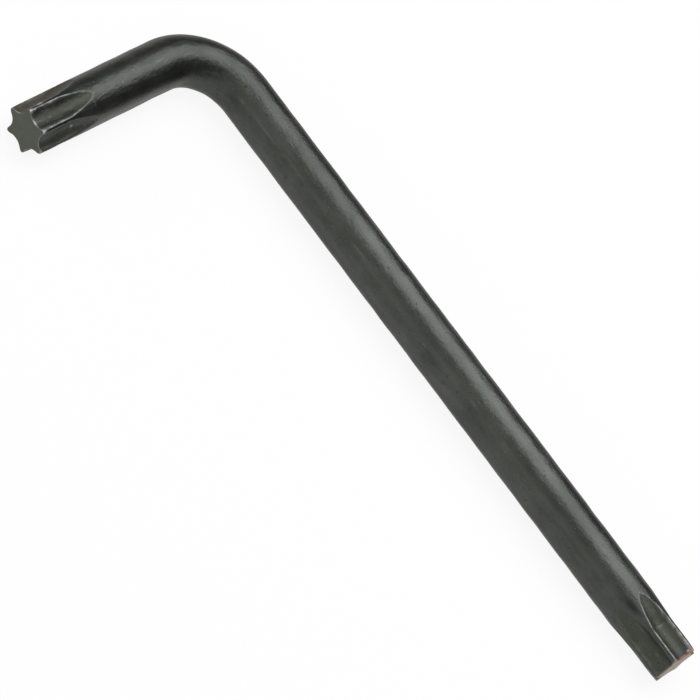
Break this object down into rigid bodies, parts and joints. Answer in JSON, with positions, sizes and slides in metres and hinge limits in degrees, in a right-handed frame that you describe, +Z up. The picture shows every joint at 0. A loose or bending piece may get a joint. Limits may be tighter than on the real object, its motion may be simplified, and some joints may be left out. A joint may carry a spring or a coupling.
{
  "type": "star key",
  "caption": "L-shaped star key of round blackened steel bar, with a fluted star drive formed at the end of each arm, for turning screws that have a star socket.",
  "frame": {"origin": "on the surface that the key lies on, under the middle of its overall box", "axes": "+X along the long arm towards its tip, -Y along the short arm towards its tip, +Z up, square to the plane of the L"},
  "size_m": [0.086, 0.03, 0.0057],
  "materials": {
    "blackened_steel": "black oxide, satin, with faint drawing lines; bare ground metal on the long arm's end face"
  },
  "bodies": {
    "root": {"long_tip": "blackened_steel", "long_arm": "blackened_steel", "bend": "blackened_steel", "short_arm": "blackened_steel", "short_tip": "blackened_steel"}
  },
  "joints": []
}
